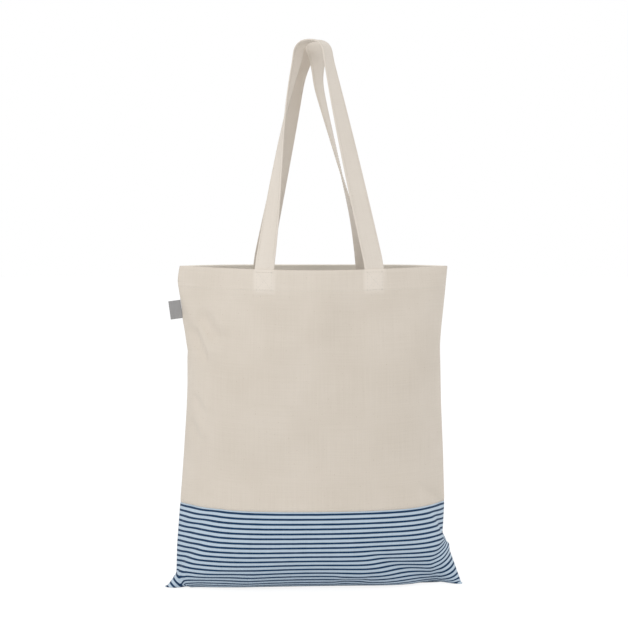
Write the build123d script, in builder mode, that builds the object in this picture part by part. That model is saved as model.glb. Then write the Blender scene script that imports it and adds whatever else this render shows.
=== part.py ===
"""Canvas tote bag, filled out and standing, with both handles up.

Millimetres. +Z is up, the front faces -Y, and the origin is under the middle of the bag on the
surface that it stands on.
"""

import os
from math import asin, atan2, cos, degrees, hypot, pi, radians, sin, sqrt

from build123d import *

# Cloth and thread
cloth = 0.8  # one ply of canvas
hem_plies = 3  # the turned-in mouth edge
thread = 0.5  # how far a stitch stands out of the cloth
stitch_width = 0.8
body_gap = 0.5  # room between pieces that move against each other

# Rise from each level of the bag to the next
foot_rise = 14.0  # floor to the bend above it
ear_rise = 40.0  # to the notch above the bottom corners
hip_rise = 46.0
waist_rise = 190.0
shoulder_rise = 56.0
mouth_rise = 48.0

# Width and depth of the filled bag at each level
foot_width, foot_depth = 300.0, 62.0
bend_width, bend_depth = 320.0, 98.0
notch_width, notch_depth = 329.0, 136.0
hip_width, hip_depth = 330.0, 148.0
waist_width, waist_depth = 314.0, 158.0
shoulder_width, shoulder_depth = 330.0, 144.0
mouth_width, mouth_depth = 334.0, 130.0

# Striped base and its two corner ears
base_height = 97.0
ear_span = 368.0
ear_tip_rise = 3.0
ear_toe = 14.0  # length of the ear's edge along the floor

# Hem and seams
hem_depth = 28.0
hem_stitch_inset = 2.5  # above the hem's lower edge
base_stitch_lift = 2.5  # above the striped base
seam_allowance = 9.0

# Straps
strap_width = 25.0
strap_thickness = 2.0
strap_rise = 281.0  # mouth to the top of the loop
strap_edge_inset = 2.6  # stitching in from the strap's edge
tack_gap = 0.6  # between the sewn square that holds a strap end and the hem's stitches
front_spacing, front_shift = 132.0, 6.0
back_spacing, back_shift = 128.0, -1.0
front_lean, back_lean = 34.0, 38.0  # how far each loop leans in over the mouth

# Loop tops: where each stands, how wide it turns and which way its strap faces
front_loop_shift, front_loop_radius, front_loop_facing = -3.5, 18.7, -118.0
back_loop_shift, back_loop_radius, back_loop_facing = -9.5, 4.5, -128.0
# The bow sets where along its leg a strap does most of its twisting
front_left_bow, front_right_bow = 0.28, -0.75
back_left_bow, back_right_bow = 0.8, 1.0

# Side label
label_width = 15.0  # out from the seam
label_height = 23.0
label_thickness = 0.8
label_drop = 55.0  # mouth down to the label's middle

# Worked out from the sizes above
bend_z = foot_rise
notch_z = bend_z + ear_rise
hip_z = notch_z + hip_rise
waist_z = hip_z + waist_rise
shoulder_z = waist_z + shoulder_rise
mouth_z = shoulder_z + mouth_rise
run_out = 20.0  # the bag's volume is drawn this far past the mouth and cut there
levels = [
    (0.0, foot_width, foot_depth),
    (bend_z, bend_width, bend_depth),
    (notch_z, notch_width, notch_depth),
    (hip_z, hip_width, hip_depth),
    (waist_z, waist_width, waist_depth),
    (shoulder_z, shoulder_width, shoulder_depth),
    (mouth_z, mouth_width, mouth_depth),
    (mouth_z + run_out, mouth_width, mouth_depth),
]
reach = ear_span + waist_depth  # larger than the bag in X and Y

os.makedirs("parts", exist_ok=True)


def finish(part, name):
    """Labels one piece and writes its STEP file."""
    part.label = name
    export_step(part, f"parts/{name}.step")
    print(f"{name}: {len(part.solids())} solid, {part.volume:.0f} mm3")


def lens(width, depth, skin):
    """Half-width and half-depth of a level's two-arc outline, moved outward by skin."""
    half, bulge = width / 2, depth / 2
    radius = (half**2 + bulge**2) / (2 * bulge)
    return sqrt((radius + skin) ** 2 - (radius - bulge) ** 2), bulge + skin


def bag_volume(skin, side_inset=0.0):
    """The bag's filled shape, moved outward by skin, narrowed at the side seams by side_inset."""
    with BuildPart() as volume:
        for height, width, depth in levels:
            half, bulge = lens(width, depth, skin)
            half -= side_inset
            lift = max(height, -skin)
            with BuildSketch(Plane.XY.offset(lift)):
                with BuildLine():
                    ThreePointArc((-half, 0), (0, -bulge), (half, 0))
                    ThreePointArc((half, 0), (0, bulge), (-half, 0))
                make_face()
        loft()
    return volume.part


def slab(low, high, side=0):
    """A block between two heights: all of it, or the half on the -Y or +Y side."""
    depth = reach if side == 0 else reach / 2
    with BuildPart() as block:
        with Locations((0, side * depth / 2, (low + high) / 2)):
            Box(reach, depth, high - low)
    return block.part


def mouth_line(x, skin):
    """Stand of the mouth's outline, moved by skin, off the middle plane at x, and its slope."""
    half, bulge = lens(mouth_width, mouth_depth, skin)
    radius = (half**2 + bulge**2) / (2 * bulge)
    return sqrt(radius**2 - x**2) - (radius - bulge), degrees(asin(x / radius))


# Filled volumes, from the stitches on the outside to the strap ends on the inside
hem_skin = -cloth * hem_plies
outside = bag_volume(0)
hollow = bag_volume(-cloth)
hem_hollow = bag_volume(hem_skin)
strap_end_hollow = bag_volume(hem_skin - strap_thickness)
stitched_outside = bag_volume(thread)
seam_hollow = bag_volume(-cloth, seam_allowance)

with BuildPart() as wall:
    add(outside)
    add(hollow, mode=Mode.SUBTRACT)

with BuildPart() as hem_lining:
    add(hollow)
    add(hem_hollow, mode=Mode.SUBTRACT)
    add(slab(mouth_z - hem_depth, mouth_z), mode=Mode.INTERSECT)

with BuildPart() as stitch_skin:
    add(stitched_outside)
    add(outside, mode=Mode.SUBTRACT)

with BuildPart() as strap_end_skin:
    add(hem_hollow)
    add(strap_end_hollow, mode=Mode.SUBTRACT)
    add(slab(mouth_z - hem_depth, mouth_z), mode=Mode.INTERSECT)

# Front and back panels, each with its turned-in hem
FRONT, BACK = -1, 1
for side, name in ((FRONT, "front_panel"), (BACK, "back_panel")):
    with BuildPart() as panel:
        add(wall.part)
        add(hem_lining.part)
        add(slab(base_height, mouth_z, side), mode=Mode.INTERSECT)
    finish(panel.part, name)

# Striped base: one cloth folded under the bag, its corners pinched flat into ears
with BuildPart() as base_outside:
    add(outside)
    add(slab(0, base_height), mode=Mode.INTERSECT)

with BuildPart() as striped_base:
    for hand in (-1, 1):
        with BuildSketch(Plane.XZ):
            with BuildLine():
                Polyline(
                    (hand * foot_width / 2 - hand * ear_toe, 0),
                    (hand * (ear_span / 2 - ear_toe), 0),
                    (hand * ear_span / 2, ear_tip_rise),
                    (hand * notch_width / 2, notch_z),
                    (hand * foot_width / 2 - hand * ear_toe, notch_z),
                    close=True,
                )
            make_face()
        extrude(amount=cloth, both=True)
    add(base_outside.part)
    add(hollow, mode=Mode.SUBTRACT)
finish(striped_base.part, "striped_base")

# Overlocked seam allowances inside the two side seams
for hand, name in ((-1, "left_side_seam"), (1, "right_side_seam")):
    low, high = notch_z, mouth_z - hem_depth
    with BuildPart() as seam:
        add(hollow)
        add(seam_hollow, mode=Mode.SUBTRACT)
        with Locations((hand * reach / 4, 0, (low + high) / 2)):
            Box(reach / 2, 2 * cloth, high - low, mode=Mode.INTERSECT)
    finish(seam.part, name)

# Rows of stitches along the hem and above the striped base
hem_row = mouth_z - hem_depth + hem_stitch_inset
base_row = base_height + base_stitch_lift
for side, face in ((FRONT, "front"), (BACK, "back")):
    for row, what in ((hem_row, "hem"), (base_row, "base")):
        with BuildPart() as stitches:
            add(stitch_skin.part)
            add(slab(row - stitch_width / 2, row + stitch_width / 2, side), mode=Mode.INTERSECT)
        finish(stitches.part, f"{face}_{what}_stitching")

# Strap ends inside the hem, and the sewn squares that hold them
hem_middle = mouth_z - hem_depth / 2
tack_margin = hem_stitch_inset + stitch_width / 2 + tack_gap
tack_width, tack_height = strap_width - 2 * tack_margin, hem_depth - 2 * tack_margin
inside_width, inside_height = tack_width - 2 * stitch_width, tack_height - 2 * stitch_width
cross_width, cross_height = tack_width - stitch_width, tack_height - stitch_width
cross_tilt = degrees(atan2(cross_height, cross_width))
handle_places = {
    "front": (FRONT, front_spacing, front_shift),
    "back": (BACK, back_spacing, back_shift),
}
for face, (side, spacing, shift) in handle_places.items():
    for hand, what in ((-1, "left"), (1, "right")):
        place = shift + hand * spacing / 2
        with BuildPart() as strap_end:
            add(strap_end_skin.part)
            with Locations((place, side * reach / 4, hem_middle)):
                Box(strap_width, reach / 2, hem_depth, mode=Mode.INTERSECT)
        finish(strap_end.part, f"{face}_handle_{what}_end")

        with BuildPart() as tack:
            with BuildSketch(Plane.XZ):
                with Locations((place, hem_middle)):
                    Rectangle(tack_width, tack_height)
                    Rectangle(inside_width, inside_height, mode=Mode.SUBTRACT)
                    for tilt in (cross_tilt, -cross_tilt):
                        Rectangle(hypot(cross_width, cross_height), stitch_width, rotation=tilt)
            extrude(amount=-side * reach / 2)
            add(stitch_skin.part, mode=Mode.INTERSECT)
        finish(tack.part, f"{face}_handle_{what}_tack")


def leg_facing(hem_angle, top_angle, bow, along):
    """Which way the strap's width points, in degrees in plan, this far up a leg."""
    return hem_angle + (top_angle - hem_angle) * (along + bow * along * (1 - along))


def strap_plane(point, run, facing):
    """A section's plane: across the strap's run, with its width towards facing."""
    width = Vector(cos(radians(facing)), sin(radians(facing)), 0)
    run = run.normalized()
    across = (width - run * width.dot(run)).normalized()
    return Plane(origin=point, x_dir=across, z_dir=run)


def strap_sections(side, spacing, shift, lean, loop_shift, radius, facing, left_bow, right_bow):
    """Planes across the strap from the left hem, over the loop, to the right hem."""
    leg_steps, turn_steps = 10, 6
    up = Vector(0, 0, 1)
    hems, hem_facings = [], []
    for hand in (-1, 1):
        x = shift + hand * spacing / 2
        stand, slope = mouth_line(x, hem_skin - strap_thickness / 2)
        hems.append(Vector(x, side * stand, mouth_z + body_gap))
        # a strap's width runs along the hem, one way on the first leg and the other on the second
        hem_facings.append(-side * slope if hand == side else -side * slope - 180)
    loop_y = (hems[0].Y + hems[1].Y) / 2 - side * lean
    centre = Vector(loop_shift, loop_y, mouth_z + strap_rise - strap_thickness / 2 - radius)
    # the loop turns square to the way that its strap's width points
    turn = Vector(-sin(radians(facing)), cos(radians(facing)), 0)
    tops = [centre - turn * radius, centre + turn * radius]

    def leg(index, bow, along):
        run = tops[index] - hems[index] if 0 < along < 1 else up
        angle = leg_facing(hem_facings[index], facing, bow, along)
        point = hems[index] + (tops[index] - hems[index]) * along
        return strap_plane(point, run * (1 - 2 * index), angle)

    planes = [leg(0, left_bow, step / leg_steps) for step in range(leg_steps)]
    for step in range(turn_steps + 1):
        angle = pi * step / turn_steps
        point = centre - turn * (radius * cos(angle)) + up * (radius * sin(angle))
        planes.append(strap_plane(point, turn * sin(angle) + up * cos(angle), facing))
    planes += [leg(1, right_bow, 1 - step / leg_steps) for step in range(1, leg_steps + 1)]
    return planes


# Handles: one strap each, twisting on its way up and folded over at the top
front_loop = (front_loop_shift, front_loop_radius, front_loop_facing)
back_loop = (back_loop_shift, back_loop_radius, back_loop_facing)
loops = {
    "front": (front_lean, *front_loop, front_left_bow, front_right_bow),
    "back": (back_lean, *back_loop, back_left_bow, back_right_bow),
}
for face, place in handle_places.items():
    sections = strap_sections(*place, *loops[face])
    with BuildPart() as handle:
        for section in sections:
            with BuildSketch(section):
                Rectangle(strap_width, strap_thickness)
        loft(ruled=True)
    finish(handle.part, f"{face}_handle")

    with BuildPart() as edge_stitches:
        for edge in (-1, 1):
            for section in sections:
                with BuildSketch(section):
                    with Locations((edge * (strap_width / 2 - strap_edge_inset), 0)):
                        Rectangle(stitch_width, strap_thickness + 2 * thread)
            loft(ruled=True)
    finish(edge_stitches.part, f"{face}_handle_stitching")

# Side label, caught in the left side seam and lying along it
label_z = mouth_z - label_drop


def side_reach(height):
    """How far the left side seam stands out at this height."""
    with BuildPart() as slice_of_bag:
        add(outside)
        add(slab(height - cloth / 2, height + cloth / 2), mode=Mode.INTERSECT)
    return -slice_of_bag.part.bounding_box().min.X


label_low, label_high = label_z - label_height / 2, label_z + label_height / 2
seam_low, seam_high = side_reach(label_low), side_reach(label_high)
seam_tilt = degrees(atan2(seam_high - seam_low, label_height))
seam_middle = max(side_reach(label_z), (seam_low + seam_high) / 2)
with BuildPart() as side_label:
    with BuildSketch(Plane.XZ):
        with Locations((-seam_middle - body_gap - label_width / 2, label_z)):
            Rectangle(label_width, label_height, rotation=seam_tilt)
    extrude(amount=label_thickness / 2, both=True)
finish(side_label.part, "side_label")

print("mouth height", round(mouth_z, 2))
for face, (side, spacing, shift) in handle_places.items():
    inner_edge = spacing / 2 - abs(shift) - strap_width / 2
    fold_y = side * (mouth_line(inner_edge, 0)[0] + body_gap)
    print(f"{face} handle folds over the mouth edge at y={fold_y:.2f}")
print(f"label hinge at x={-seam_middle - body_gap:.2f} z={label_z:.2f} tilt={seam_tilt:.2f}")
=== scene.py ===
# %% [markdown]
# A canvas tote bag, filled out and standing with both handles drawn up. This lesson dresses the
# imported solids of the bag: the cloth is draped by a small cloth solver, the straps are twisted
# ribbons, and Geometry Nodes sew the stitches. Everything is in metres, in the frame of the solids:
# Z up, the front facing -Y, the origin on the floor under the middle of the bag.

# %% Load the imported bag
from math import asin, cos, degrees, pi, radians, sin, sqrt

import bpy
import numpy as np
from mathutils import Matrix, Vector


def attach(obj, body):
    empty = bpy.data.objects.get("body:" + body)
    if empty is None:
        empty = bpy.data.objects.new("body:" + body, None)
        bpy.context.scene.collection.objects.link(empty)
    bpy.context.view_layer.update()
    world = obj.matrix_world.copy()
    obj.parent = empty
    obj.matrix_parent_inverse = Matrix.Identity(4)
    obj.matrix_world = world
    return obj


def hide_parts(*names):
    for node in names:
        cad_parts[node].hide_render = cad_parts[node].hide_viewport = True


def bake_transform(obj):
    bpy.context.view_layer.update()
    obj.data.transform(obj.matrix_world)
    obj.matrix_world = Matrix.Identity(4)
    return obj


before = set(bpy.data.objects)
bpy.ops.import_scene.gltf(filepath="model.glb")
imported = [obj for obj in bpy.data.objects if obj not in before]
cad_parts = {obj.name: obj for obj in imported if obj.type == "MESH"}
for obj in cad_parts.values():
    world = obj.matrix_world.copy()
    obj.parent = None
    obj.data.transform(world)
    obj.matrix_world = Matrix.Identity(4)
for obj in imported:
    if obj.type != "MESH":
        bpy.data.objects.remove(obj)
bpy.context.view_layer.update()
mm = 0.001

# %% [markdown]
# The camera comes first, because every later choice is judged through it. The photograph looks at
# the bag square on, from a little above the mouth: the inside of the back hem just shows over the
# front one. A long lens keeps the sides of the bag nearly parallel.

# %% Camera
camera_side, camera_back, camera_height = 0.6 * mm, 2.2, 0.520
aim_height = 0.335
frame_width = 0.785  # what the picture spans at the middle of the bag
sensor_width = 36  # in millimetres, as Blender counts lenses
camera = bpy.data.objects.new("camera", bpy.data.cameras.new("camera"))
bpy.context.collection.objects.link(camera)
camera.location = (camera_side, -camera_back, camera_height)
aim = Vector((camera_side, 0, aim_height))
camera.rotation_euler = (aim - camera.location).to_track_quat("-Z", "Y").to_euler()
camera.data.sensor_width = sensor_width
camera.data.lens = sensor_width * (aim - camera.location).length / frame_width
bpy.context.scene.camera = camera
print("lens", round(camera.data.lens, 1), "mm")

# %% [markdown]
# The floor and the light are plain: a pale floor, a soft lamp high on the left, a weaker one behind
# on the right for the insides of the straps, and an even white surrounding. The camera sees that
# surrounding as white, while the cloth is lit by a softer share of it, so that the calico keeps its
# own colour.

# %% Light
scene = bpy.context.scene
scene.view_settings.view_transform = "Standard"
world_light, key_power, fill_power = 0.765, 13.5, 6.5
lamp_aim = Vector((0, 0, 0.25))


def seen_directly(tree):
    """1 on rays from the camera, a mirror or a glass, else 0."""
    path = tree.nodes.new("ShaderNodeLightPath")
    total = path.outputs["Is Camera Ray"]
    for name in ("Is Glossy Ray", "Is Transmission Ray"):
        higher = tree.nodes.new("ShaderNodeMath")
        higher.operation = "MAXIMUM"
        tree.links.new(total, higher.inputs[0])
        tree.links.new(path.outputs[name], higher.inputs[1])
        total = higher.outputs[0]
    return total


def mix_to_output(tree, share, first, second, output):
    """Leads the first shader, and by this share the second, to a tree's output."""
    mix = tree.nodes.new("ShaderNodeMixShader")
    for socket, source in zip(mix.inputs, (share, first.outputs[0], second.outputs[0])):
        tree.links.new(source, socket)
    tree.links.new(mix.outputs[0], tree.nodes[output].inputs["Surface"])


world = bpy.data.worlds.new("studio")
scene.world = world
world.use_nodes = True
sky = world.node_tree
backdrop = sky.nodes["Background"]
backdrop.inputs["Color"].default_value = (1, 1, 1, 1)
backdrop.inputs["Strength"].default_value = world_light
white = sky.nodes.new("ShaderNodeBackground")
white.inputs["Color"].default_value = (1, 1, 1, 1)
mix_to_output(sky, seen_directly(sky), backdrop, white, "World Output")


def soft_lamp(name, place, size, power):
    """A square lamp that looks at the bag."""
    lamp = bpy.data.objects.new(name, bpy.data.lights.new(name, "AREA"))
    bpy.context.collection.objects.link(lamp)
    lamp.location = place
    lamp.rotation_euler = (lamp_aim - lamp.location).to_track_quat("-Z", "Y").to_euler()
    lamp.data.size = size
    lamp.data.energy = power


soft_lamp("key", place=(-1.0, -1.5, 1.9), size=1.0, power=key_power)
soft_lamp("fill", place=(1.9, 0.6, 1.1), size=2.0, power=fill_power)
print("lamps of", key_power, "and", fill_power, "W")

# %% Floor
floor_reach, floor_drop = 6.0, 0.2 * mm  # it lies a hair below zero
paper_white, paper_glow, glow_part = 0.94, 1.12, 0.78
floor_mesh = bpy.data.meshes.new("floor")
floor_mesh.from_pydata(
    [(x * floor_reach, y * floor_reach, -floor_drop) for x, y in ((-1, -1), (1, -1), (1, 1), (-1, 1))],
    [], [(0, 1, 2, 3)])
floor = bpy.data.objects.new("floor", floor_mesh)
bpy.context.collection.objects.link(floor)
paper = bpy.data.materials.new("studio_paper")
paper.use_nodes = True
paper_tree = paper.node_tree
sheet_of_paper = paper_tree.nodes["Principled BSDF"]
sheet_of_paper.inputs["Base Color"].default_value = (paper_white, paper_white, paper_white, 1)
sheet_of_paper.inputs["Roughness"].default_value = 0.9
glow = paper_tree.nodes.new("ShaderNodeEmission")
glow.inputs["Strength"].default_value = paper_glow
glow_share = paper_tree.nodes.new("ShaderNodeMath")
glow_share.operation = "MULTIPLY"
glow_share.inputs[1].default_value = glow_part
paper_tree.links.new(seen_directly(paper_tree), glow_share.inputs[0])
mix_to_output(paper_tree, glow_share.outputs[0], sheet_of_paper, glow, "Material Output")
floor.data.materials.append(paper)
print("floor", 2 * floor_reach, "m wide")

# %% [markdown]
# The bag's shape. A tote is two flat panels sewn at the sides over a folded base, so the filled
# shape can't be just any surface: the cloth doesn't stretch. A loft would have the right outline
# but no tension in it. A cloth solver starts from such a loft, pushes the cloth outward as its
# filling does and lets the threads pull it back to their own lengths, until the puckers by the
# seams and the round of the base come by themselves. The hem is held at the mouth and the side
# seams along the outline of the photographed bag.

# %% Sizes of the bag
flat_mouth, flat_width = 367 * mm, 380 * mm  # a panel's width at the hem and at the base
panel_length = 292 * mm  # hem to the seam over the striped base
front_length = 109 * mm  # that seam to the bottom fold
floor_length = 28 * mm  # bottom fold to the middle of the floor
cloth = 0.8 * mm
mouth_z = 395.5 * mm
mouth_half, mouth_bulge = 167 * mm, 65 * mm
mouth_sag = 2 * mm  # the hem hangs a little between the straps
base_seam_z = 100 * mm
foot_bulge, hip_bulge, belly_bulge, waist_bulge = 26 * mm, 72 * mm, 78 * mm, 79 * mm
bulge_levels = np.array([0, 100, 200, 290, 394]) * mm  # heights of those four and of the mouth's
deepest = 74 * mm  # the filling is flat in front
# each side seam, down from the mouth to the tip of its ear: stand off the middle and height
left_seam = [(167, 395.5), (170, 377), (165, 346), (163.5, 326), (157.5, 300), (157, 250), (162, 177),
             (167, 100), (170, 50), (170.5, 14), (183, 2)]
right_seam = [(167, 395.5), (164.5, 366), (161, 330), (158, 302), (159, 270), (160, 225), (163, 160),
              (164.5, 100), (163, 74), (161.5, 55), (167, 49.5), (185, 1.5)]
print("mouth", 2 * mouth_half / mm, "mm wide and", 2 * mouth_bulge / mm, "mm deep")


# %% Helpers for the outline
def ease(t):
    """A smooth step from 0 to 1."""
    t = np.clip(t, 0, 1)
    return t * t * (3 - 2 * t)


def span(vectors):
    """Their lengths, with the last axis kept."""
    return np.sqrt((vectors * vectors).sum(-1, keepdims=True))


def even_out(values):
    """Smooths a run of values where it is, its two ends kept."""
    values[1:-1] = 0.25 * (values[:-2] + values[2:]) + 0.5 * values[1:-1]


def seam_path(hand, counts):
    """Points down a side seam, in X and Z, one for each row of cloth, and how far down each lies."""
    rows, front_rows, floor_rows = counts
    corners = np.array(left_seam if hand < 0 else right_seam) * mm
    run = np.concatenate([[0], np.cumsum(np.hypot(*np.diff(corners, axis=0).T))])
    at_base = np.interp(-base_seam_z, -corners[:, 1], run)
    stops = np.concatenate([np.linspace(0, at_base, rows), np.linspace(at_base, run[-1], front_rows + 1)[1:],
                            np.full(floor_rows, run[-1])])
    points = np.column_stack([np.interp(stops, run, corners[:, i]) for i in (0, 1)])
    even_out(points[:rows])
    points[:, 0] *= hand
    return points, stops


def mouth_arc(half, bulge, across):
    """A point of a two-arc outline, from -1 to 1 across: its X and its stand off the middle plane."""
    radius = (half**2 + bulge**2) / (2 * bulge)
    angle = across * np.arcsin(half / radius)
    return radius * np.sin(angle), radius * np.cos(angle) - (radius - bulge)


half_way = mouth_arc(mouth_half, mouth_bulge, 0.5)
print("half way to the side, the mouth stands", round(half_way[1] / mm, 1), "mm off the middle")


# %% Cloth grid and its first guess
def cloth_lengths(counts, columns):
    """Lengths between rows, by row and column. The floor of the bag runs out towards its corners."""
    rows, front_rows, floor_rows = counts
    across = np.linspace(-1, 1, columns)
    plain = np.concatenate([np.full(rows - 1, panel_length / (rows - 1)),
                            np.full(front_rows, front_length / front_rows)])[:, None]
    lengths = plain + 0 * across
    for hand in (-1, 1):
        at_seam = np.diff(seam_path(hand, counts)[1])[:len(plain), None]
        lengths += (at_seam - plain) * np.maximum(hand * across, 0) ** 3
    least = 0.02  # of its full length, so that no thread has none
    taper = np.clip((1 - np.abs(across)) * flat_width / 2 / floor_length, least, 1)
    return np.vstack([lengths, np.tile(floor_length / floor_rows * taper, (floor_rows, 1))])


def cloth_widths(counts):
    """Width of the flat cloth at each row. It is full from half way down the panel."""
    rows, front_rows, floor_rows = counts
    share = np.clip(np.arange(rows + front_rows + floor_rows) / (0.5 * rows), 0, 1)
    return flat_mouth + (flat_width - flat_mouth) * share


def first_guess(counts, columns):
    """Front and back cloth lofted through the bag's outline: an array side, row, column, XYZ."""
    rows, front_rows, floor_rows = counts
    u = np.linspace(-1, 1, columns)[None, :]
    seams = {hand: seam_path(hand, counts)[0] for hand in (-1, 1)}
    half = np.where(u < 0, -seams[-1][:, :1], seams[1][:, :1])
    z = np.where(u < 0, seams[-1][:, 1:], seams[1][:, 1:])
    stands = [foot_bulge, hip_bulge, belly_bulge, waist_bulge, mouth_bulge]
    bulge = np.interp(z[:, :1], bulge_levels, stands)
    x, y = mouth_arc(half, bulge + 0 * u, u)
    z = np.maximum(z, cloth / 2)
    near_hem = np.linspace(1, 0, rows)[:, None] ** 8  # the rest of the panel doesn't sag
    z[:rows] -= mouth_sag * np.cos(u * pi / 2) ** 2 * near_hem
    inward = np.linspace(1, 0, floor_rows + 1)[1:, None]
    y[-floor_rows:] *= inward
    front = np.stack([x, -y, z], axis=-1)
    return np.stack([front, front * np.array([1, -1, 1])])


print("each panel narrows from", flat_width / mm, "to", flat_mouth / mm, "mm at the hem")

# %% The cloth solver
thread_share, slant_share = 1.0, 0.5  # threads keep their length, and a weave gives way on the slant
tiny = 1e-12  # keeps a length from being zero


def pull(a, b, length, share, only_apart=False):
    """Moves two rows of points towards their length apart, by this share of what is missing.

    Only against coming too close, where asked: that is how cloth resists a sharp bend.
    """
    gap = b - a
    missing = 1 - length / (span(gap) + tiny)
    if only_apart:
        missing = np.minimum(missing, 0)
    move = (0.5 * share) * missing * gap
    a += move
    b -= move


def outward(points):
    """Unit normals of both cloths, pointing out of the bag."""
    along, down = np.gradient(points, axis=2), np.gradient(points, axis=1)
    normal = np.cross(down, along)
    normal[1] *= -1
    return normal / (span(normal) + tiny)


def fill_out(points, counts, steps, pressure, stiffness, passes=4, damping=0.9):
    """Presses the cloth outward against its own threads until it comes to rest."""
    columns = points.shape[2]
    apart = (cloth_widths(counts) / (columns - 1))[None, :, None, None]
    down = cloth_lengths(counts, columns)
    down_two = (down[1:] + down[:-1])[None, :, :, None]
    slant = np.sqrt(apart[:, 1:, :, 0] ** 2 + (0.5 * (down[:, 1:] + down[:, :-1])) ** 2)[..., None]
    down = down[None, :, :, None]
    hem = points[:, 0].copy()
    room = 1.1 * cloth / 2  # keeps front and back clear of each other
    bottom = counts[0] + counts[1] - 1
    corner = columns // 11  # so many columns at each side may lift off the floor
    draw_in = 0.9  # the cloth under the bag keeps to the middle
    before = points.copy()
    for _ in range(steps):
        speed = (points - before) * damping
        before = points.copy()
        points = points + speed + outward(points) * pressure
        for _ in range(passes):
            for s in (0, 1):
                pull(points[:, :, s:-1:2], points[:, :, s + 1::2], apart, thread_share)
                pull(points[:, s:-1:2], points[:, s + 1::2], down[:, s::2], thread_share)
                pull(points[:, s:-1:2, :-1], points[:, s + 1::2, 1:], slant[:, s::2], slant_share)
                pull(points[:, s:-1:2, 1:], points[:, s + 1::2, :-1], slant[:, s::2], slant_share)
            for s in range(4):
                far = points[:, :, s + 2::4]
                pull(points[:, :, s:-2:4][:, :, :far.shape[2]], far, 2 * apart, stiffness, True)
                far = points[:, s + 2::4]
                pull(points[:, s:-2:4][:, :far.shape[1]], far, down_two[:, s::4], stiffness, True)
            for column, hand in ((0, -1), (-1, 1)):
                seam = seam_path(hand, counts)[0]
                points[:, :, column, 0] = seam[:, 0]
                points[:, :, column, 1] = 0
                points[:, :, column, 2] = seam[:, 1]
            fold = points[:, -1].mean(axis=0)
            fold[:, 1] *= draw_in
            points[:, -1] = fold
            points[:, 0] = hem
            np.minimum(points[0, :, 1:-1, 1], -room, out=points[0, :, 1:-1, 1])
            np.maximum(points[1, :, 1:-1, 1], room, out=points[1, :, 1:-1, 1])
            np.clip(points[..., 1], -deepest, deepest, out=points[..., 1])
            np.maximum(points[..., 2], cloth / 2, out=points[..., 2])
            points[:, bottom:, corner:-corner, 2] = cloth / 2
    return points


print("a pull mends", thread_share, "of a thread's length and", slant_share, "on the slant")


# %% Finer cloth
def finer(points, axis):
    """Twice as many points along one axis, on smooth curves through the ones that are there."""
    n = points.shape[axis]
    order = np.arange(n - 1)

    def at(k):
        return np.take(points, np.clip(k, 0, n - 1), axis=axis)

    middle = (9 * (at(order) + at(order + 1)) - at(order - 1) - at(order + 2)) / 16
    shape = list(points.shape)
    shape[axis] = 2 * n - 1
    out = np.empty(shape)
    every = [slice(None)] * points.ndim
    every[axis] = slice(0, None, 2)
    out[tuple(every)] = points
    every[axis] = slice(1, None, 2)
    out[tuple(every)] = middle
    return out


print("3 rows become", len(finer(np.zeros((3, 1)), 0)))

# %% Fill the bag out
counts, columns = (38, 13, 5), 47  # rows of the panel, of the base up the front and under the bag; columns
bag = first_guess(counts, columns)
bag = fill_out(bag, counts, steps=400, pressure=0.02 * mm, stiffness=0.04)
bag = finer(finer(bag, 1), 2)
counts, columns = (2 * counts[0] - 1, 2 * counts[1], 2 * counts[2]), 2 * columns - 1
bag = fill_out(bag, counts, steps=250, pressure=0.005 * mm, stiffness=0.04)
rows = counts[0]
seam_row, bottom = rows - 1, rows + counts[1]
foot, rounding = slice(bottom - 6, bottom + 4), 14  # rows about the bottom fold, which the filling rounds
for _ in range(rounding):
    bag[:, foot, 1:-1] += 0.25 * np.diff(bag[:, foot.start - 1:foot.stop + 1, 1:-1], n=2, axis=1)
threads = np.linspace(-flat_width / 2, flat_width / 2, columns)
run_down = np.vstack([np.zeros(columns), np.cumsum(cloth_lengths(counts, columns), axis=0)])
print("cloth", bag.shape, "front stands", round(-bag[0, ..., 1].min() / mm, 1), "mm off the middle")

# %% [markdown]
# A filled bag never stands quite straight: the foot of this one is turned a little, its left corner
# forward, and its bottom corners lie on the floor as ears. Cloth that has been folded in a drawer and
# then filled also keeps a few creases. On the photographed bag the clearest lie by the left seam,
# under the label. Each is a shallow valley with a low ridge beside it, so it is pressed into the
# finished shape along a line, and fades out at both ends.

# %% Turned foot and ears
turn_height, foot_forward, foot_turn = 170 * mm, 28 * mm, 12 * mm
low = ease(1 - bag[..., 2] / turn_height)
bag[..., 1] += (foot_turn * bag[..., 0] / (flat_width / 2) - foot_forward) * low
# each ear, in millimetres: its hand, where it begins, its reach and height, and how far forward it lies
ears = [(-1, 158, 22, 26, 12), (1, 155, 28, 55, 18)]
for hand, root, reach, height, forward in ears:
    ear = ease((hand * bag[..., 0] - root * mm) / (reach * mm)) * ease(1 - bag[..., 2] / (height * mm))
    bag[..., 1] -= forward * mm * ear

# the ears lie on the floor along their lower edges: rows counted from the bottom fold
low_first, low_end = -2, 6
settle_from, settle_by, lift_from, lift_by = -10, -2, 3, 8
lowest = bag[:, bottom + low_first:bottom + low_end, :, 2].min(axis=(0, 1)) - cloth / 2
row = np.arange(bag.shape[1]) - bottom
settled = ease((row - settle_from) / (settle_by - settle_from))
settled *= ease((lift_by - row) / (lift_by - lift_from))
bag[..., 2] -= settled[:, None] * lowest
print("foot", foot_forward / mm, "mm forward, with", len(ears), "ears")

# %% Creases
fade_share = 0.3  # of a crease's length, at each end
ridge_place = 1.6  # in crease widths beside the valley


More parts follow.
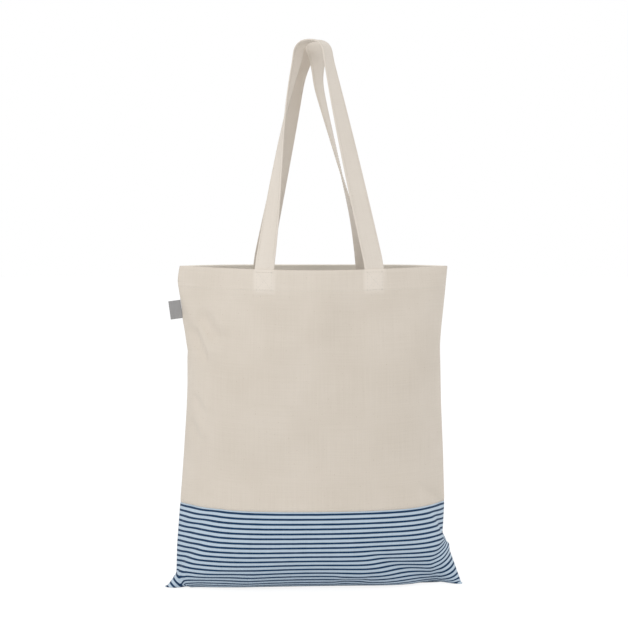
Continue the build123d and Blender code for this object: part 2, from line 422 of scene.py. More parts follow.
def crease(side, start, end, width, depth, beside_ridge=0.7):
    """Presses a valley and a ridge into a panel along a line given in X and Z."""
    start, end = np.array(start) * mm, np.array(end) * mm
    long = np.hypot(*(end - start))
    line = (end - start) / long
    away = bag[side][..., [0, 2]] - start
    along = (away @ line) / long
    beside = away @ np.array([-line[1], line[0]]) / (width * mm)
    fade = ease(along / fade_share) * ease((1 - along) / fade_share)
    shape = (np.exp(-(beside**2)) - beside_ridge * np.exp(-((beside - ridge_place) ** 2))) * fade
    bag[side] -= outward(bag)[side] * (depth * mm * shape)[..., None]


# start and end in X and Z, width and depth, all in millimetres; a depth below zero stands out
creases = [
    ((-144, 346), (-114, 302), 9, 4.6),
    ((-151, 326), (-130, 273), 6, 4.6),
    ((-150, 240), (-133, 212), 5, 2.4),
    ((-154, 209), (-140, 178), 5, 2.2),
    ((20, 398), (12, 300), 22, -2.6),
    ((-169, 24), (-153, -6), 2.6, 1.8),
    ((170, 64), (146, 24), 3.6, 3.6),
    ((24, 9), (72, 11), 4, 2.2),
]
for line in creases:
    crease(0, *line)
seam_dent = 0.5 * mm  # the seam over the striped base draws the cloth in
bag[:, seam_row] -= outward(bag)[:, seam_row] * seam_dent
print("creases", len(creases))

# %% [markdown]
# Each finish is built from nodes by a small helper. A socket is wrapped in a class whose operators
# add Math nodes, so the pattern of a weave can be written as a sum, and one method adds any other
# node. Colours are written as they look on a screen and turned into light values once.

# %% Helpers for finishes
class Shade:
    """One output of a material's node."""

    def __init__(self, finish, socket):
        self.finish, self.socket = finish, socket

    def out(self, name):
        """Another output of the same node."""
        return Shade(self.finish, self.socket.node.outputs[name])

    def math(self, operation, *values):
        return self.finish.sum(operation, self, *values)

    def __add__(self, other):
        return self.math("ADD", other)

    def __sub__(self, other):
        return self.math("SUBTRACT", other)

    def __rsub__(self, other):
        return self.finish.sum("SUBTRACT", other, self)

    def __mul__(self, other):
        return self.math("MULTIPLY", other)

    def __truediv__(self, other):
        return self.math("DIVIDE", other)

    __radd__, __rmul__ = __add__, __mul__


class Finish:
    """A material, with its shader's plain values set from the start."""

    def __init__(self, name, **plain):
        self.material = bpy.data.materials.new(name)
        self.material.use_nodes = True
        self.tree = self.material.node_tree
        self.shader = self.tree.nodes["Principled BSDF"]
        for socket, value in plain.items():
            self.shader.inputs[socket.replace("_", " ")].default_value = value

    def node(self, kind, settings, sockets, out=0):
        """Any node, with its settings and the values or links of its sockets."""
        made = self.tree.nodes.new(kind)
        for key, value in settings.items():
            setattr(made, key, value)
        for key, value in sockets.items():
            self.feed(made.inputs[key], value)
        return Shade(self, made.outputs[out])

    def feed(self, socket, value):
        if isinstance(value, Shade):
            self.tree.links.new(value.socket, socket)
        else:
            socket.default_value = value

    def sum(self, operation, *values):
        return self.node("ShaderNodeMath", {"operation": operation}, dict(enumerate(values)))

    def blend(self, share, first, second):
        """A colour between two colours."""
        return self.node("ShaderNodeMix", {"data_type": "RGBA"}, {0: share, 6: first, 7: second}, 2)

    def flat(self):
        """Where a point lies on the flat cloth: metres across and along."""
        return self.node("ShaderNodeUVMap", {"uv_map": "cloth"}, {})

    def cloudy(self, across, along, detail=2.0):
        """Noise with so many turns to the metre across and along the cloth."""
        place = self.node("ShaderNodeMapping", {}, {"Vector": self.flat(), "Scale": (across, along, 1)})
        return self.node("ShaderNodeTexNoise", {"noise_dimensions": "2D"},
                         {"Vector": place, "Scale": 1.0, "Detail": detail})

    def surface(self, **inputs):
        for socket, value in inputs.items():
            self.feed(self.shader.inputs[socket.replace("_", " ")], value)


def screen(red, green, blue):
    """A colour given as it looks on a screen, 0 to 255."""
    parts = [c / 255 for c in (red, green, blue)]
    return tuple(c / 12.92 if c <= 0.04045 else ((c + 0.055) / 1.055) ** 2.4 for c in parts) + (1,)


print("the middle grey of a screen gives back", round(screen(128, 128, 128)[0], 3), "of the light")

# %% [markdown]
# Calico is a plain weave of undyed cotton: each thread goes over one and under the next, some
# threads are thicker than others, and a few flecks of seed husk stay in the yarn. The weave is a
# pattern of the flat cloth coordinates, so it bends with the folds and runs straight along a strap.


# %% Calico finish
def plain_weave(finish, pitch):
    """Height of a plain weave from 0 to 1."""
    place = finish.node("ShaderNodeSeparateXYZ", {}, {0: finish.flat()}, "X")
    warp, weft = place / pitch, place.out("Y") / pitch
    warp_round = (warp * pi).math("SINE").math("ABSOLUTE")
    weft_round = (weft * pi).math("SINE").math("ABSOLUTE")
    over = ((warp.math("FLOOR") + weft.math("FLOOR")) * 0.5).math("FRACT") * 2  # 1 where the warp is on top
    on_warp = warp_round * (0.5 + 0.5 * weft_round)
    on_weft = weft_round * (0.5 + 0.5 * warp_round)
    return over * on_warp + (1 - over) * on_weft


def slubs(finish):
    """Thick and thin yarns along both ways of the cloth, about 0.5 in the middle."""
    return finish.cloudy(14, 900) * 0.5 + finish.cloudy(900, 14) * 0.5


yarn_part, patch_part, painted_weave_shade = 0.35, 0.3, 0.15  # how far each one changes the tone; the yarn and the patches are the cloth's own, the weave's share is painted shade in its hollows
single_light, painted_ply_light = 0.57, 0.36  # the tone of one ply, and the painted light that a second ply behind it adds
husk_from, husk_most = 0.75, 0.5  # only the peaks of the noise are husks
# husks are the cloth's own flecks; the lining colour is painted light inside the hem
husk_brown, painted_lit_lining = screen(150, 122, 90), screen(255, 249, 238)


def calico(name, colour, shade):
    """Undyed cotton, from its darker tone to its full colour: the yarn and the patches vary it as the cloth
    does, the hollows of the weave take painted shade, and plies behind take painted light.
    """
    finish = Finish(name, Roughness=0.92, Sheen_Weight=0.12, Sheen_Roughness=0.5, Specular_IOR_Level=0.2)
    height = plain_weave(finish, pitch=0.55 * mm)
    yarn = slubs(finish)
    patchy = finish.cloudy(16, 16, 3.0)
    husk = (finish.cloudy(420, 420, 1.0) - husk_from).math("MAXIMUM", 0) * 2
    light = (yarn - 0.5) * yarn_part + (patchy - 0.5) * patch_part + single_light
    # painted shade: the hollows of the weave are darker
    light = light + (height - 0.5) * painted_weave_shade
    # painted light: a lighter tone where plies lie behind the outer face
    thick = finish.node("ShaderNodeAttribute", {"attribute_name": "painted_light_plies"}, {}, "Fac")
    light = light + thick.math("MINIMUM", 1) * painted_ply_light
    tone = finish.blend(light.math("MAXIMUM", 0).math("MINIMUM", 1), shade, colour)
    # painted light: the lining rows, marked 2, take a lighter tone
    tone = finish.blend((thick - 1).math("MAXIMUM", 0), tone, painted_lit_lining)
    tone = finish.blend(husk.math("MINIMUM", husk_most), tone, husk_brown)
    bump = finish.node("ShaderNodeBump", {}, {"Strength": 0.35, "Distance": 0.15 * mm,
                                              "Height": height + yarn * 0.8})
    finish.surface(Base_Color=tone, Normal=bump)
    return finish.material


body_calico = calico("body_calico", screen(231, 222, 211), screen(197, 186, 170))
strap_calico = calico("strap_calico", screen(237, 229, 219), screen(207, 197, 184))
print("calico for the body and, a little lighter, for the straps")

# %% [markdown]
# The base is light blue cotton with fine navy stripes. A picture of stripes would blur close up and
# slide over the folds, so they are counted along the flat cloth, from its sewn edge. A little noise
# lets each stripe wander by a thread, as woven stripes do.

# %% Striped finish
stripe_pitch, stripe_share = 6.0 * mm, 0.43  # navy takes this share of each pitch
stripe_blur, stripe_wander, dye_change = 0.05, 0.06, 1.6


def striped(name):
    """Light blue cotton with navy stripes along its width, counted from the sewn edge."""
    finish = Finish(name, Roughness=0.85, Sheen_Weight=0.1, Sheen_Roughness=0.5, Specular_IOR_Level=0.25)
    height = plain_weave(finish, pitch=0.4 * mm)
    yarn = slubs(finish)
    along = finish.node("ShaderNodeSeparateXYZ", {}, {0: finish.flat()}, "Y")
    wander = (finish.cloudy(60, 400) - 0.5) * stripe_wander
    beside = ((along / stripe_pitch + wander).math("FRACT") - 0.5).math("ABSOLUTE") * 2
    stripe = finish.node("ShaderNodeMapRange", {}, {0: beside, 1: stripe_share - stripe_blur,
                                                    2: stripe_share + stripe_blur, 3: 1.0, 4: 0.0})
    ground = finish.blend((yarn - 0.5) * dye_change + 0.5, screen(180, 198, 214), screen(195, 211, 225))
    navy = finish.blend((yarn - 0.5) * dye_change + 0.5, screen(8, 42, 74), screen(24, 62, 98))
    bump = finish.node("ShaderNodeBump", {}, {"Strength": 0.3, "Distance": 0.12 * mm,
                                              "Height": height + yarn * 0.6})
    finish.surface(Base_Color=finish.blend(stripe, ground, navy), Normal=bump)
    return finish.material


base_stripes = striped("base_stripes")
print("stripes of", round(stripe_pitch * stripe_share / mm, 1), "mm at a pitch of", stripe_pitch / mm, "mm")

# %% [markdown]
# Sewing thread shows its twist as fine slanting bands, and a wave texture has just those: they are a bump,
# and their darker grooves are painted shade. The label is a closer and shinier weave than the calico, so it
# takes the same weave at a smaller pitch, with painted shade in its hollows.


# %% Thread and label finishes
def twisted_thread(name):
    """Undyed cotton thread with a slanting twist."""
    finish = Finish(name, Roughness=0.75, Sheen_Weight=0.2, Specular_IOR_Level=0.3)
    place = finish.node("ShaderNodeTexCoord", {}, {}, "Object")
    twist = finish.node("ShaderNodeTexWave", {"bands_direction": "DIAGONAL"},
                        {"Vector": place, "Scale": 900.0, "Distortion": 1.0})
    # painted shade: the grooves of the twist are darker
    tone = finish.blend(twist, screen(206, 198, 186), screen(232, 226, 216))
    bump = finish.node("ShaderNodeBump", {}, {"Strength": 0.3, "Distance": 0.1 * mm, "Height": twist})
    finish.surface(Base_Color=tone, Normal=bump)
    return finish.material


def satin_label(name):
    """Fine grey weave, shinier than the calico."""
    finish = Finish(name, Roughness=0.5, Sheen_Weight=0.2, Specular_IOR_Level=0.45)
    height = plain_weave(finish, pitch=0.3 * mm)
    yarn = finish.cloudy(60, 2500)
    # the yarn's share of the tone is the label's own; the weave's share is painted shade in its hollows
    tone = finish.blend(yarn * 0.7 + height * 0.3, screen(132, 131, 132), screen(170, 169, 169))
    bump = finish.node("ShaderNodeBump", {}, {"Strength": 0.3, "Distance": 0.08 * mm, "Height": height})
    finish.surface(Base_Color=tone, Normal=bump)
    return finish.material


cotton_thread = twisted_thread("cotton_thread")
grey_label = satin_label("grey_label")
print("thread and label finishes ready")

# %% [markdown]
# A strap end sewn behind the hem pushes the cloth out and blocks the light that would come through
# it, so the hem shows it as a raised square with a small tuck under it, lighter by painted light. The
# relief goes into the cloth, and the painted light, by how many plies lie at each point, is kept for the
# finish to read.

# %% Strap ends behind the hem
strap_places = {0: (-60, 74.4), 1: (-65.1, 65.9)}  # X of each strap's middle in millimetres, front and back
hem_painted_light, hem_reach, hem_blur = 0.13, 29.5 * mm, 3 * mm  # painted light: the hem band takes a faintly lighter tone from outside
end_half, end_reach, end_blur, end_relief = 14.5 * mm, 30 * mm, 4 * mm, 0.9 * mm
tuck_half, tuck_left, tuck_right = 13, 361.5, 362.5  # in millimetres, as creases are
painted_light_plies = np.zeros(bag.shape[:3])
below = np.broadcast_to(run_down[None, :, :], painted_light_plies.shape)
painted_light_plies += hem_painted_light * ease((hem_reach - below) / hem_blur)
for side, places in strap_places.items():
    for x in places:
        beside = np.abs(bag[side][..., 0] - x * mm)
        end = ease((end_half - beside) / end_blur) * ease((end_reach - below[side]) / end_blur)
        # painted light: each strap end shows as a lighter square
        painted_light_plies[side] = np.maximum(painted_light_plies[side], end)
        bag[side, 1:] += outward(bag)[side, 1:] * (end_relief * end[1:])[..., None]
        crease(side, (x - tuck_half, tuck_left), (x + tuck_half, tuck_right),
               width=2.6, depth=1.1, beside_ridge=0)
normals = outward(bag)
print("strap ends", sum(len(p) for p in strap_places.values()))

# %% [markdown]
# Now the cloth pieces. Each is a grid of quads through the solved points, smoothed once and given
# its thickness towards the inside. A panel's rows are led over the mouth edge and down inside it,
# because the hem of a tote is the cloth itself turned in, and its round edge catches the light.


# %% Cloth pieces
def flat_sheet(name, points, faces, flat, finish):
    """A smooth mesh that knows where each of its points lies on the flat cloth."""
    mesh = bpy.data.meshes.new(name)
    mesh.from_pydata(points.reshape(-1, 3).tolist(), [], faces)
    corners = np.empty(len(mesh.loops), int)
    mesh.loops.foreach_get("vertex_index", corners)
    layer = mesh.uv_layers.new(name="cloth")
    layer.data.foreach_set("uv", flat.reshape(-1, 2)[corners].ravel())
    mesh.polygons.foreach_set("use_smooth", np.ones(len(mesh.polygons), bool))
    mesh.materials.append(finish)
    piece = bpy.data.objects.new(name, mesh)
    bpy.context.collection.objects.link(piece)
    return piece


def cloth_piece(name, grid, flat, finish, thickness, flip=False, offset=-1.0, painted_light_layers=None):
    """A sheet through a grid of points, smoothed once and given its thickness."""
    n, m = grid.shape[:2]
    order = np.arange(n * m).reshape(n, m)
    faces = np.stack([order[:-1, :-1], order[1:, :-1], order[1:, 1:], order[:-1, 1:]], axis=-1).reshape(-1, 4)
    if flip:
        faces = faces[:, ::-1]
    piece = flat_sheet(name, grid, faces.tolist(), flat, finish)
    if painted_light_layers is not None:
        piece.data.attributes.new("painted_light_plies", "FLOAT", "POINT").data.foreach_set("value", painted_light_layers.ravel())
    smooth = piece.modifiers.new("smooth", "SUBSURF")
    smooth.levels = smooth.render_levels = 1
    smooth.boundary_smooth = "PRESERVE_CORNERS"
    thick = piece.modifiers.new("thickness", "SOLIDIFY")
    thick.thickness, thick.offset = thickness, offset
    return settle(piece)


def settle(piece):
    """The piece with its modifiers worked into a plain mesh."""
    bpy.context.view_layer.update()
    shape = piece.evaluated_get(bpy.context.evaluated_depsgraph_get())
    mesh = bpy.data.meshes.new_from_object(shape)
    piece.modifiers.clear()
    plain, piece.data = piece.data, mesh
    bpy.data.meshes.remove(plain)
    mesh.name = piece.name
    return piece


print("cloth", cloth / mm, "mm thick")

# %% Panels with their hems
hem_rows, hem_thick, turn_steps = 7, 3 * cloth, 6
lining_gap = 0.1 * mm  # from the middle plane, where the two hems meet at the side seams
UP = np.array([0, 0, 1])


def panel_with_hem(side):
    """Rows of a panel from the edge of its hem, up inside, over the mouth and down outside."""
    outer, normal = bag[side, :rows], normals[side, :rows].copy()
    normal[0, :, 2] = 0
    normal[0] /= span(normal[0])
    inner = outer[hem_rows:0:-1] - normal[hem_rows:0:-1] * hem_thick
    radius = hem_thick / 2
    centre = outer[0] - normal[0] * radius - UP * radius
    turn = [centre + radius * (normal[0] * cos(a) + UP * sin(a)) for a in np.linspace(pi, 0, turn_steps + 1)]
    grid = np.concatenate([inner, np.stack(turn), outer[1:]])
    hand = -1 if side == 0 else 1
    lining = len(inner) + turn_steps
    grid[:lining, :, 1] = hand * np.maximum(hand * grid[:lining, :, 1], lining_gap)
    steps = span(np.diff(grid, axis=0))[..., 0]
    along = np.vstack([np.zeros(columns), np.cumsum(steps, axis=0)])
    flat = np.stack([np.broadcast_to(threads, along.shape), along], axis=-1)
    outside = painted_light_plies[side, :rows]
    edge = np.repeat(outside[:1], turn_steps + 1, axis=0)
    painted_light_layers = np.concatenate([outside[hem_rows:0:-1], edge, outside[1:]])
    painted_light_layers[:lining - turn_steps // 2] = 2  # painted light: the inside of the hem takes the lighter lining tone, for light that comes through the cloth
    return grid, flat, painted_light_layers


panels = []
for side, face in ((0, "front"), (1, "back")):
    grid, flat, painted_light_layers = panel_with_hem(side)
    panels.append(cloth_piece(f"{face}_panel_cloth", grid, flat, body_calico, cloth,
                              flip=side == 1, painted_light_layers=painted_light_layers))
    print(panels[-1].name, len(panels[-1].data.polygons), "faces")

# %% [markdown]
# The striped base is one cloth from the front seam to the back one, folded under the bag. At its two
# bottom corners it stands out as ears, and some of the cloth is hidden in tucks there. So the stripes
# on an ear don't run on from the front: the tuck lifts them, or turns them to a slope of their own.
# The solver's grid is too coarse for such a tuck, so the cloth coordinates of the ear are shifted.

# %% Striped base
least_ear = 3 * mm
lift_fade, turn_fade = 0.12, 0.15  # shares of a tuck's length over which it begins


def lifted(run, side, top, foot, hidden):
    """Cloth coordinates down the base, where the cloth hidden in a tuck lifts the threads of an ear."""
    x, z = bag[side, seam_row:, :, 0], bag[side, seam_row:, :, 2]
    edge = bag[side, seam_row:, -1]
    down = np.clip((top[1] * mm - z) / ((top[1] - foot[1]) * mm), 0, 1)
    root = (top[0] + (foot[0] - top[0]) * down) * mm
    wide = np.maximum(np.interp(z, edge[::-1, 2], edge[::-1, 0]) - root, least_ear)
    return run + hidden * mm * np.clip((x - root) / wide, 0, 1) * ease(down / lift_fade)


def turned(run, side, top, foot, slope, width):
    """The same for an ear that is folded over: its threads run off at a slope of their own."""
    place = bag[side, seam_row:][..., [0, 2]] - np.array(top) * mm
    line = (np.array(foot) - np.array(top)) * mm
    beside = place @ np.array([line[1], -line[0]]) / np.hypot(*line)
    share = ease(beside / (width * mm) + 0.5) * ease(place @ line / (line @ line) / turn_fade + 1)
    nearest = np.unravel_index(np.argmin((place**2).sum(-1)), place.shape[:2])
    ear = run[nearest] + place @ np.array([-sin(radians(slope)), -cos(radians(slope))])
    return run + (ear - run) * share


base_runs = []
for side in (0, 1):
    run = run_down[seam_row:] - run_down[seam_row]
    run = lifted(run, side, top=(162, 54), foot=(146, 27), hidden=15)
    base_runs.append(turned(run, side, top=(-168, 18), foot=(-155.5, -3), slope=43, width=2.0))
under = np.concatenate([bag[0, seam_row:], bag[1, -2:seam_row - 1:-1]])
along = np.concatenate([base_runs[0], base_runs[1][-2::-1]])
base_flat = np.stack([np.broadcast_to(threads, along.shape), along], axis=-1)
base = cloth_piece("striped_base_cloth", under, base_flat, base_stripes, cloth)
print(base.name, len(base.data.polygons), "faces")

# %% [markdown]
# The straps. Each handle is one strip of folded calico, sewn inside the hem at both ends, that
# twists on its way up and turns over at the top. A curve with a bevel would twist where it likes, so
# the ribbon is built from its middle line and the way that its width points.

# %% Strap sizes
strap_width, strap_thick = 25 * mm, 2 * mm
strap_rise, strap_gap = 278.5 * mm, 0.5 * mm
strap_inset = hem_thick + strap_thick / 2  # middle of the strap inside the bag's outer face
# spacing and shift place a strap's ends; lean draws its loop towards the middle, and top, radius and
# facing are the loop's own; bows and sways shape the twist and the hang of each leg; crown holds how
# far the two ends of the loop are moved, and the way that it faces
handles = {
    "front": dict(side=-1, spacing=134.5 * mm, shift=7.2 * mm, lean=34 * mm, top=-0.8 * mm, radius=21.2 * mm,
                  facing=-118, bows=((0.0, 0), (-0.7, 0)), sways=(-4.2 * mm, -0.4 * mm), crown=(0, 0, -118)),
    "back": dict(side=1, spacing=131 * mm, shift=0.4 * mm, lean=38 * mm, top=-9.5 * mm, radius=4.5 * mm,
                 facing=-128, bows=((0.8, 0), (0.6, 2.3)), sways=(2.2 * mm, -1.3 * mm),
                 crown=(4 * mm, 8.5 * mm, -158)),
}
print("straps rise", strap_rise / mm, "mm over the mouth")


# %% The line of a strap
def mouth_line(x, inset):
    """How far the mouth's outline, moved in by inset, stands off the middle plane at x, and its slope."""
    radius = (mouth_half**2 + mouth_bulge**2) / (2 * mouth_bulge)
    inner = radius - inset
    return sqrt(inner**2 - x**2) - (radius - mouth_bulge), degrees(asin(x / inner))


sway_scale = 27 / 4  # a sway is greatest two thirds up a leg, where this makes it its full size
move_start, move_length = 0.80, 0.18  # shares of a leg over which the loop's end is moved
turn_start, turn_length = 0.87, 0.11  # and over which it turns to the loop's own facing
loop_power = 0.8  # below 1 squares the loop a little
strap_passes = 6  # of smoothing


def strap_line(side, spacing, shift, lean, top, radius, facing, bows, sways, crown, steps=60, turns=30):
    """Points along the middle of a strap, and the way its width points at each, in degrees in plan."""
    hems, angles = [], []
    for hand in (-1, 1):
        x = shift + hand * spacing / 2
        stand, slope = mouth_line(x, strap_inset)
        hems.append(np.array([x, side * stand, mouth_z + strap_gap]))
        angles.append(-side * slope if hand == side else -side * slope - 180)
    loop_y = (hems[0][1] + hems[1][1]) / 2 - side * lean
    centre = np.array([top, loop_y, mouth_z + strap_rise - strap_thick / 2 - radius])
    over = np.array([-sin(radians(facing)), cos(radians(facing)), 0])
    tops = [centre - over * radius, centre + over * radius]
    points, ways = [], []

    def leg(index, along):
        (bow, early), rest = bows[index], 1 - along
        twist = along + bow * along * rest + early * along * rest**4
        hang = sways[index] * sway_scale * along**2 * rest
        hang += crown[index] * ease((along - move_start) / move_length)
        points.append(hems[index] + (tops[index] - hems[index]) * along + np.array([hang, 0, 0]))
        ways.append(angles[index] + (facing - angles[index]) * twist
                    + (crown[2] - facing) * ease((along - turn_start) / turn_length))

    def sewn_end(index, order):
        column = int(np.argmin(np.abs(bag[0, 0, :, 0] - hems[index][0])))
        cloth_side = 0 if side < 0 else 1
        for row in order:
            points.append(bag[cloth_side, row, column] - normals[cloth_side, row, column] * strap_inset)
            points[-1][0] = hems[index][0]
            ways.append(angles[index])

    sewn_end(0, range(hem_rows, 0, -1))
    for step in range(steps):
        leg(0, step / steps)
    left_end, right_end = (np.array([crown[k], 0, 0]) for k in (0, 1))
    over = np.array([-sin(radians(crown[2])), cos(radians(crown[2])), 0])
    middle, half_loop = centre + (left_end + right_end) / 2, over * radius + (right_end - left_end) / 2
    for step in range(turns + 1):
        angle = pi * step / turns
        flat_cos = np.sign(cos(angle)) * abs(cos(angle)) ** loop_power
        points.append(middle - half_loop * flat_cos + UP * (radius * abs(sin(angle)) ** loop_power))
        ways.append(crown[2])
    for step in range(steps - 1, -1, -1):
        leg(1, step / steps)
    sewn_end(1, range(1, hem_rows + 1))
    points, ways = np.array(points), np.array(ways, float)
    for _ in range(strap_passes):
        even_out(points)
        even_out(ways)
    return points, ways


print("a strap lies", round(strap_inset / mm, 1), "mm inside the mouth's outline")


# %% The ribbon of a strap
def ribbon_frames(points, ways):
    """Across and face directions of a ribbon at each point of its middle line."""
    run = np.gradient(points, axis=0)
    run /= span(run)
    ways = np.radians(ways)
    across = np.stack([np.cos(ways), np.sin(ways), 0 * ways], axis=-1)
    across -= run * (across * run).sum(-1, keepdims=True)
    across /= span(across)
    return across, np.cross(run, across)


edge_power = 12  # a high power gives a strap flat faces and round edges
half_outline = np.array([0, 0.2, 0.4, 0.6, 0.8, 0.92, 0.98])
outline_w = np.concatenate([-half_outline[:0:-1], half_outline, [1],
                            half_outline[::-1], -half_outline[1:], [-1]])
outline_t = np.sqrt(1 - np.abs(outline_w) ** edge_power)
outline_t[len(outline_w) // 2:] *= -1


def ribbon_piece(name, points, across, face, width, thick, finish, rumple=None):
    """A closed strap of the given width and thickness along its middle line, and its length."""
    w, t = outline_w * width / 2, outline_t * thick / 2
    rings = points[:, None] + across[:, None] * w[None, :, None] + face[:, None] * t[None, :, None]
    if rumple is not None:
        rings = rings + face[:, None] * rumple[..., None]
    n, m = rings.shape[:2]
    order = np.arange(n * m).reshape(n, m)
    after = np.roll(order, -1, axis=1)
    faces = np.stack([order[:-1], order[1:], after[1:], after[:-1]], axis=-1).reshape(-1, 4)
    caps = [order[0].tolist(), order[-1][::-1].tolist()]
    run = np.concatenate([[0], np.cumsum(span(np.diff(points, axis=0))[:, 0])])
    flat = np.stack([np.broadcast_to(w, (n, m)), np.broadcast_to(run[:, None], (n, m))], axis=-1)
    return flat_sheet(name, rings, faces.tolist() + caps, flat, finish), run[-1]


print("a ribbon has", len(outline_w), "points around")

# %% Straps
# a strap rumples just above the hem: how high, its slant across, depth, wave and how far it reaches
rumple_high, rumple_slant, rumple_deep, rumple_wave, rumple_reach = (
    6 * mm, 2.5 * mm, 0.55 * mm, 1.1 * mm, 5 * mm)
straps, strap_frames = {}, {}
for face, sizes in handles.items():
    points, ways = strap_line(**sizes)
    across, out = ribbon_frames(points, ways)
    rise = points[:, None, 2] - mouth_z - rumple_high + rumple_slant * outline_w[None, :]
    rumple = rumple_deep * np.sin(rise / rumple_wave) * np.exp(-((rise / rumple_reach) ** 2))
    strap, length = ribbon_piece(f"{face}_handle_strap", points, across, out, strap_width, strap_thick,
                                 strap_calico, rumple)
    straps[face], strap_frames[face] = strap, (points, across, out)
    strap["cut_length"] = length
    print(strap.name, round(length / mm), "mm long")

# %% [markdown]
# Stitches repeat along a path, which is the work of Geometry Nodes: the tree walks along a line of
# points, sets one short rounded stitch every few millimetres, turned along the line, and gives each
# a slightly different length, as a sewing machine does on thick cloth.

# %% The stitching tree
stitch_length, stitch_gap, thread_width = 2.9 * mm, 0.7 * mm, 0.65 * mm


def stitch_tree(finish):
    """Geometry Nodes that sew one stitch after another along a line."""
    tree = bpy.data.node_groups.new("stitch_row", "GeometryNodeTree")
    face = tree.interface
    face.new_socket("Geometry", in_out="INPUT", socket_type="NodeSocketGeometry")
    sizes = (("Stitch length", stitch_length), ("Stitch gap", stitch_gap), ("Thread width", thread_width))
    for name, value in sizes:
        face.new_socket(name, in_out="INPUT", socket_type="NodeSocketFloat").default_value = value
    face.new_socket("Geometry", in_out="OUTPUT", socket_type="NodeSocketGeometry")

    def node(kind, settings, sockets):
        made = tree.nodes.new(kind)
        for key, value in settings.items():
            setattr(made, key, value)
        for key, value in sockets.items():
            if isinstance(value, bpy.types.NodeSocket):
                tree.links.new(value, made.inputs[key])
            else:
                made.inputs[key].default_value = value
        return made

    given = node("NodeGroupInput", {}, {}).outputs
    step = node("ShaderNodeMath", {"operation": "ADD"}, {0: given["Stitch length"], 1: given["Stitch gap"]})
    line = node("GeometryNodeMeshToCurve", {}, {"Mesh": given["Geometry"]})
    walk = node("GeometryNodeResampleCurve", {"mode": "LENGTH"},
                {"Curve": line.outputs[0], "Length": step.outputs[0]})
    size = node("ShaderNodeCombineXYZ", {}, {"X": given["Stitch length"], "Y": given["Thread width"],
                                             "Z": given["Thread width"]})
    bead = node("GeometryNodeMeshUVSphere", {}, {"Segments": 6, "Rings": 5, "Radius": 0.5})
    stitch = node("GeometryNodeTransform", {}, {"Geometry": bead.outputs[0], "Scale": size.outputs[0]})
    heading = node("GeometryNodeInputTangent", {}, {})
    turn = node("FunctionNodeAlignRotationToVector", {"axis": "X"}, {"Vector": heading.outputs[0]})
    vary = node("FunctionNodeRandomValue", {"data_type": "FLOAT_VECTOR"},
                {0: (0.9, 0.9, 0.9), 1: (1.06, 1.1, 1.1), "Seed": 4})
    sewn = node("GeometryNodeInstanceOnPoints", {},
                {"Points": walk.outputs[0], "Instance": stitch.outputs[0], "Rotation": turn.outputs[0],
                 "Scale": vary.outputs[0]})
    real = node("GeometryNodeRealizeInstances", {}, {"Geometry": sewn.outputs[0]})
    smooth = node("GeometryNodeSetShadeSmooth", {}, {"Geometry": real.outputs[0]})
    dressed = node("GeometryNodeSetMaterial", {}, {"Geometry": smooth.outputs[0], "Material": finish})
    node("NodeGroupOutput", {}, {"Geometry": dressed.outputs[0]})
    return tree


stitching = stitch_tree(cotton_thread)
print(stitching.name, len(stitching.nodes), "nodes")


# %% Stitch rows on the bag
def sew(name, lines):
    """Stitches along lines of points, as one plain mesh."""
    points, edges = [], []
    for line in lines:
        first = len(points)
        points += [tuple(p) for p in line]
        edges += [(k, k + 1) for k in range(first, len(points) - 1)]
    mesh = bpy.data.meshes.new(name)
    mesh.from_pydata(points, edges, [])
    piece = bpy.data.objects.new(name, mesh)
    bpy.context.collection.objects.link(piece)
    maker = piece.modifiers.new("stitches", "NODES")
    maker.node_group = stitching
    sockets = {item.name: item.identifier for item in stitching.interface.items_tree
               if item.in_out == "INPUT"}
    maker[sockets["Thread width"]] = thread_width
    settle(piece)
    print(name, len(piece.data.polygons), "faces")
    return piece


row_sink, tack_sink = 0.05 * mm, 0.1 * mm  # the thread is drawn a little into the cloth


def row_at(side, distance, sink=row_sink):
    """A line across a panel this far below its mouth edge, drawn into the cloth by its sink."""
    k = distance / (panel_length / seam_row)
    low = int(k)
    share = k - low
    sunk = bag[side] - normals[side] * sink
    return (sunk[low] * (1 - share) + sunk[low + 1] * share)[1:-1]


hem_depth, hem_inset, base_lift = 28 * mm, 2.5 * mm, 2.5 * mm
sewn = {}
for side, face in ((0, "front"), (1, "back")):
    sewn[f"{face}_hem_stitching"] = sew(f"{face}_hem_stitches", [row_at(side, hem_depth - hem_inset)])
    sewn[f"{face}_base_stitching"] = sew(f"{face}_base_stitches", [row_at(side, panel_length - base_lift)])


# %% Stitches of the strap ends and along the straps
def on_panel(side, x, distance):
    """A point of a panel at this X, this far below the mouth edge, for the stitches of a tack."""
    row = row_at(side, distance, tack_sink)
    return np.array([np.interp(x, row[:, 0], row[:, i]) for i in range(3)])


tack_margin, tack_points = 3.5 * mm, 9
for face, sizes in handles.items():
    side = 0 if face == "front" else 1
    for hand, what in ((-1, "left"), (1, "right")):
        x = sizes["shift"] + hand * sizes["spacing"] / 2
        half = strap_width / 2 - tack_margin
        high, low = tack_margin, hem_depth - tack_margin
        corners = [(x - half, high), (x + half, high), (x + half, low), (x - half, low)]
        runs = [(corners[k], corners[(k + 1) % 4]) for k in range(4)]
        runs += [(corners[0], corners[2]), (corners[1], corners[3])]
        shares = np.linspace(0, 1, tack_points)
        lines = [[on_panel(side, start[0] + (end[0] - start[0]) * s, start[1] + (end[1] - start[1]) * s)
                  for s in shares] for start, end in runs]
        sewn[f"{face}_handle_{what}_tack"] = sew(f"{face}_handle_{what}_tack_stitches", lines)

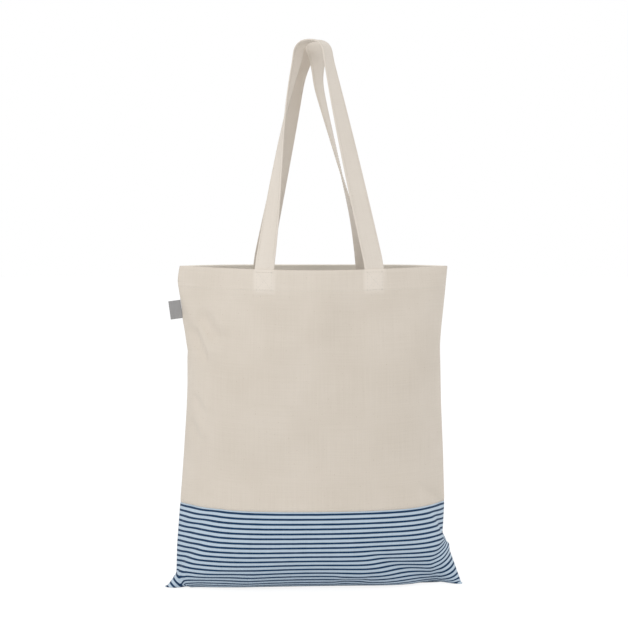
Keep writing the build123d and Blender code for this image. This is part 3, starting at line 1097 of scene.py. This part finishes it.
strap_stitch_inset, strap_stitch_lift = 2.6 * mm, 0.05 * mm
fold_clear = 1.5 * mm  # from the fold to the first stitch
fold_low, fold_high = mouth_z + 1.5 * mm, mouth_z + 11 * mm  # where a strap bends over the mouth edge
for face, frames in strap_frames.items():
    free = frames[0][:, 2] > fold_high + fold_clear
    points, across, out = (part[free] for part in frames)
    lines = [points + across * edge * (strap_width / 2 - strap_stitch_inset)
             + out * surface * (strap_thick / 2 + strap_stitch_lift)
             for edge in (-1, 1) for surface in (-1, 1)]
    sewn[f"{face}_handle_stitching"] = sew(f"{face}_handle_stitches", lines)

# %% [markdown]
# Inside the bag the side seams end in a narrow tape of both cloths, overlocked together: a straight
# ribbon, made as the straps are. The label is a strip of plain grey satin, folded in half and caught
# in the left seam, so its grid runs out to the fold and back.

# %% Seam tapes and label
tape_width, rows_below_seam = 9 * mm, 12
tapes = {}
last_row = seam_row + rows_below_seam
for column, hand, name in ((0, -1, "left"), (-1, 1, "right")):
    line = bag[0, hem_rows:last_row, column].copy()
    line[:, 0] -= hand * (2 * cloth + tape_width / 2)
    frames = ribbon_frames(line, np.zeros(len(line)))
    tapes[name] = ribbon_piece(f"{name}_seam_tape", line, *frames, tape_width, 2 * cloth, body_calico)[0]

label_hinge, label_tilt = np.array([-164.9, 0, 341.5]) * mm, radians(7.52)
label_out, label_height = 15 * mm, 23 * mm
label_ply, label_round, label_curl = 0.3 * mm, 0.25 * mm, 0.9 * mm
out_way = np.array([-cos(label_tilt), 0, -sin(label_tilt)])
up_way = np.array([-sin(label_tilt), 0, cos(label_tilt)])
out_steps, fold_steps, height_steps = 14, 7, 16
reach = np.linspace(0, label_out - label_round, out_steps)
fold = np.linspace(-pi / 2, pi / 2, fold_steps)[1:-1]
path_out = np.concatenate([reach, label_out - label_round + label_round * np.cos(fold), reach[::-1]])
path_y = np.concatenate([-label_round + 0 * reach, label_round * np.sin(fold), label_round + 0 * reach])
path_y = path_y - label_curl * (path_out / label_out) ** 2
heights = np.linspace(-label_height / 2, label_height / 2, height_steps)
label_grid = (label_hinge + path_out[:, None, None] * out_way + path_y[:, None, None] * np.array([0, 1, 0])
              + heights[None, :, None] * up_way)
label_run = np.concatenate([[0], np.cumsum(np.hypot(np.diff(path_out), np.diff(path_y)))])
label_flat = np.stack(np.broadcast_arrays(heights[None, :], label_run[:, None]), axis=-1)
label = cloth_piece("side_label_tag", label_grid, label_flat, grey_label, label_ply, offset=0.0)
print(label.name, len(label.data.polygons), "faces")

# %% [markdown]
# Last, the panels, the base, the seam tapes and the stitches are attached to the bodies that they ride
# on, and the solids that the pieces stand for are hidden. A strap is sewn to the bag and swings with its
# handle; its stitches ride on the strap's body, while the straps and the label have their places worked into
# their meshes.

# %% Bodies and hidden solids
for face, panel in zip(("front", "back"), panels):
    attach(panel, "bag")
    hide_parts(f"{face}_panel")
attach(base, "bag")
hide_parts("striped_base")
for name, tape in tapes.items():
    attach(tape, "bag")
    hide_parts(f"{name}_side_seam")
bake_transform(label)
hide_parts("side_label")

for face, strap in straps.items():
    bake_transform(strap)
    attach(sewn[f"{face}_handle_stitching"], f"{face}_strap")
    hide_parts(f"{face}_handle", f"{face}_handle_left_end", f"{face}_handle_right_end")
for node, stitches in sewn.items():
    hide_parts(node)
    if not node.endswith("handle_stitching"):
        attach(stitches, "bag")
